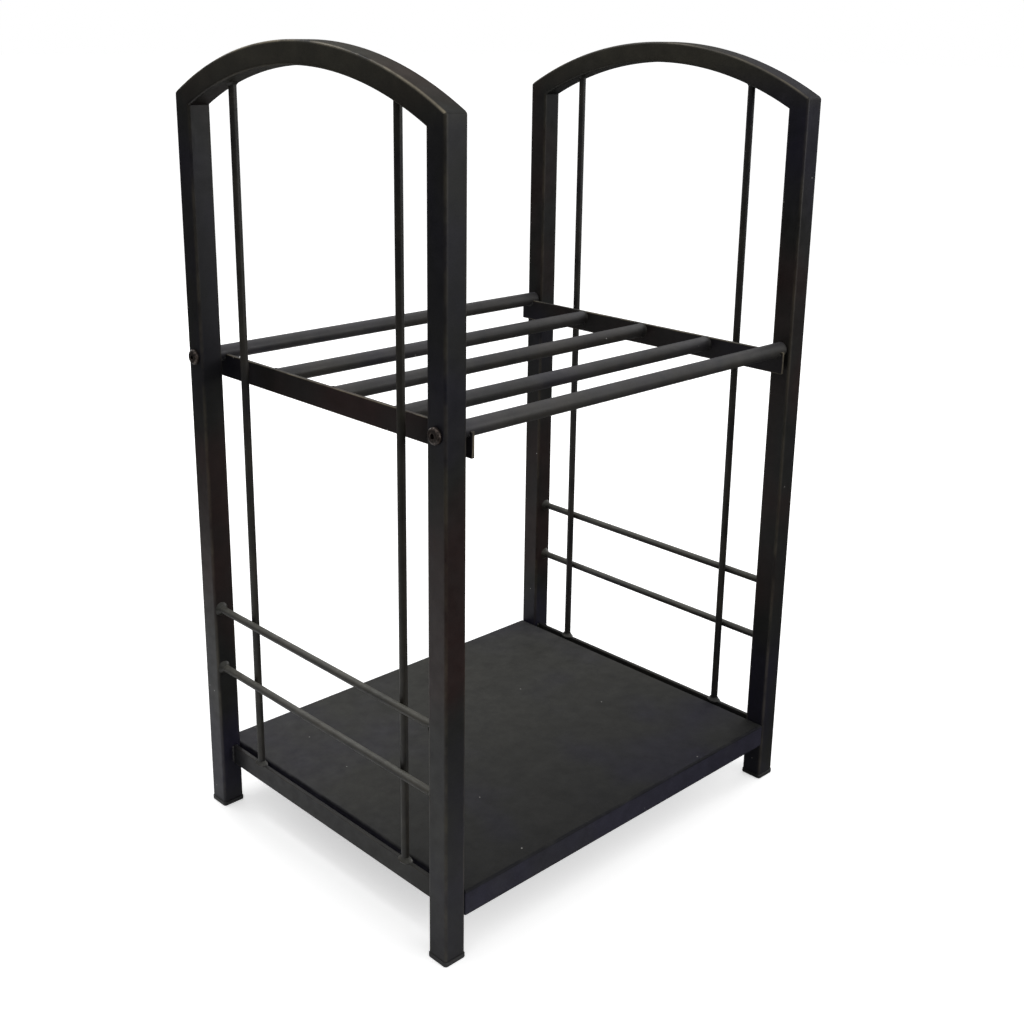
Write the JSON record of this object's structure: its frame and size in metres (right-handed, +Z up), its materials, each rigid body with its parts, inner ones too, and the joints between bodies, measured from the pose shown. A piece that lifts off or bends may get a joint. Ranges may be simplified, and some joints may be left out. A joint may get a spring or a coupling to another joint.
{
  "type": "firewood log rack",
  "caption": "Free-standing black steel firewood rack: arched end frames with upright and cross rods, a slatted shelf bolted between them and a folded sheet tray near the floor.",
  "frame": {"origin": "on the floor, under the middle of the rack", "axes": "+Z up and along the longest extent, +X from the left end frame to the right one, +Y from front to back along the shortest extent"},
  "size_m": [0.4334, 0.3314, 0.688],
  "materials": {
    "frame_coat": "satin black powder coat with a fine texture",
    "rod_coat": "satin black powder coat on round rod",
    "shelf_coat": "satin black powder coat on round tube and flat bar",
    "tray_coat": "satin charcoal powder coat on folded sheet",
    "bolt_steel": "blackened steel, low gloss",
    "zinc_steel": "zinc plated steel",
    "foot_plastic": "moulded black plastic, matte"
  },
  "bodies": {
    "root": {"left_arch": "frame_coat", "left_base_rail": "frame_coat", "left_front_leg": "frame_coat", "left_back_leg": "frame_coat", "left_front_upright_rod": "rod_coat", "left_back_upright_rod": "rod_coat", "left_lower_cross_rod": "rod_coat", "left_upper_cross_rod": "rod_coat", "left_front_foot_cap": "foot_plastic", "left_back_foot_cap": "foot_plastic", "right_arch": "frame_coat", "right_base_rail": "frame_coat", "right_front_leg": "frame_coat", "right_back_leg": "frame_coat", "right_front_upright_rod": "rod_coat", "right_back_upright_rod": "rod_coat", "right_lower_cross_rod": "rod_coat", "right_upper_cross_rod": "rod_coat", "right_front_foot_cap": "foot_plastic", "right_back_foot_cap": "foot_plastic", "shelf_front_slat": "shelf_coat", "shelf_front_middle_slat": "shelf_coat", "shelf_middle_slat": "shelf_coat", "shelf_back_middle_slat": "shelf_coat", "shelf_back_slat": "shelf_coat", "shelf_left_bar": "shelf_coat", "shelf_right_bar": "shelf_coat", "tray": "tray_coat", "left_front_shelf_bolt": "bolt_steel", "left_back_shelf_bolt": "bolt_steel", "right_front_shelf_bolt": "bolt_steel", "right_back_shelf_bolt": "bolt_steel", "left_front_threaded_plug": "zinc_steel", "left_back_threaded_plug": "zinc_steel", "right_front_threaded_plug": "zinc_steel", "right_back_threaded_plug": "zinc_steel", "left_front_tray_screw": "zinc_steel", "left_back_tray_screw": "zinc_steel", "right_front_tray_screw": "zinc_steel", "right_back_tray_screw": "zinc_steel"}
  },
  "joints": []
}
